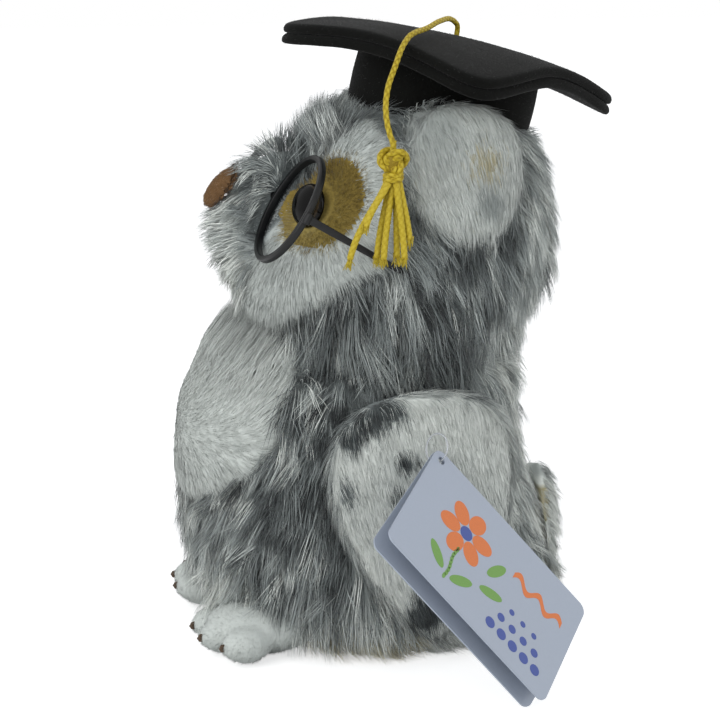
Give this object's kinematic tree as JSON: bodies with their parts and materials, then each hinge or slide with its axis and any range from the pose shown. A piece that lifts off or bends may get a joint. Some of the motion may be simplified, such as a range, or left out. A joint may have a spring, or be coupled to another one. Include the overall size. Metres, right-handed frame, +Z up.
{
  "type": "plush owl",
  "caption": "Sitting plush owl that rests on a flat base, with a head that turns, loose wings, round glasses, a soft square cap with a cord tassel and a folded hang tag.",
  "frame": {"origin": "middle of the flat base under the neck axis, on the table", "axes": "+Z up along the neck axis, -Y out of the owl's belly, +X to the owl's own left"},
  "size_m": [0.1964, 0.1767, 0.2433],
  "materials": {
    "grey_plush": "long frosted plush",
    "white_plush": "short white plush",
    "tan_plush": "very short tan plush",
    "brown_plush": "short brown plush and brown stitching",
    "fibrefill": "loose fibre and a bag of pellets",
    "felt": "thick black felt",
    "yellow_cord": "braided cord",
    "black_plastic": "satin",
    "eye_plastic": "polished, with an amber ring round a black pupil",
    "white_plastic": "moulded",
    "clear_plastic": "clear",
    "card": "printed card with a satin coat"
  },
  "bodies": {
    "body": {"body_coat": "grey_plush", "belly_panel": "white_plush", "base_panel": "white_plush", "weight_pouch": "fibrefill", "body_stuffing": "fibrefill", "neck_washer": "white_plastic", "neck_lock": "white_plastic", "foot_left": "white_plush", "foot_right": "white_plush", "claw_left_1": "brown_plush", "claw_left_2": "brown_plush", "claw_left_3": "brown_plush", "claw_right_1": "brown_plush", "claw_right_2": "brown_plush", "claw_right_3": "brown_plush", "tail": "grey_plush"},
    "head": {"neck_disc": "white_plastic", "head_coat": "grey_plush", "head_stuffing": "fibrefill", "face_panel_left": "white_plush", "face_panel_right": "white_plush", "eye_patch_left": "tan_plush", "eye_patch_right": "tan_plush", "eye_left": "eye_plastic", "eye_right": "eye_plastic", "eye_washer_left": "white_plastic", "eye_washer_right": "white_plastic", "muzzle": "grey_plush", "beak": "brown_plush", "side_puff_left": "white_plush", "side_puff_right": "white_plush", "glasses_front": "black_plastic", "temple_left": "black_plastic", "temple_right": "black_plastic", "cap_board_top": "felt", "cap_board_bottom": "felt", "cap_band": "felt", "tassel_cord_top": "yellow_cord"},
    "tassel": {"tassel_cord_drop": "yellow_cord", "tassel_knot": "yellow_cord", "tassel_strand_1": "yellow_cord", "tassel_strand_2": "yellow_cord", "tassel_strand_3": "yellow_cord", "tassel_strand_4": "yellow_cord", "tassel_strand_5": "yellow_cord", "tassel_strand_6": "yellow_cord", "tassel_strand_7": "yellow_cord"},
    "wing_left": {"wing_left_lining": "grey_plush", "wing_left_face": "white_plush", "tag_ring": "clear_plastic"},
    "wing_right": {"wing_right_lining": "grey_plush", "wing_right_face": "white_plush"},
    "tag": {"tag_back_leaf": "card"},
    "tag_front": {"tag_front_leaf": "card"}
  },
  "joints": [
    {"name": "head_turn", "type": "hinge", "parent": "body", "child": "head", "pos_m": [0, 0, 0.117], "axis": [0, 0, 1], "continuous": true},
    {"name": "wing_left_lift", "type": "hinge", "parent": "body", "child": "wing_left", "pos_m": [0.0579, 0.0055, 0.107], "axis": [0, -1, 0], "range_deg": [0, 65]},
    {"name": "wing_right_lift", "type": "hinge", "parent": "body", "child": "wing_right", "pos_m": [-0.0579, 0.0055, 0.107], "axis": [0, 1, 0], "range_deg": [0, 65]},
    {"name": "tassel_swing", "type": "hinge", "parent": "head", "child": "tassel", "pos_m": [0.04385, 0.00218, 0.23893], "axis": [-0.5443, -0.8389, 0], "range_deg": [0, 50]},
    {"name": "tag_swing", "type": "hinge", "parent": "wing_left", "child": "tag", "pos_m": [0.07686, 0.00798, 0.08481], "axis": [0.4701, -0.8358, 0.2836], "range_deg": [0, 25]},
    {"name": "tag_open", "type": "hinge", "parent": "tag", "child": "tag_front", "pos_m": [0.07333, 0.00749, 0.08921], "axis": [-0.108, -0.6522, 0.7503], "range_deg": [0, 24]}
  ]
}
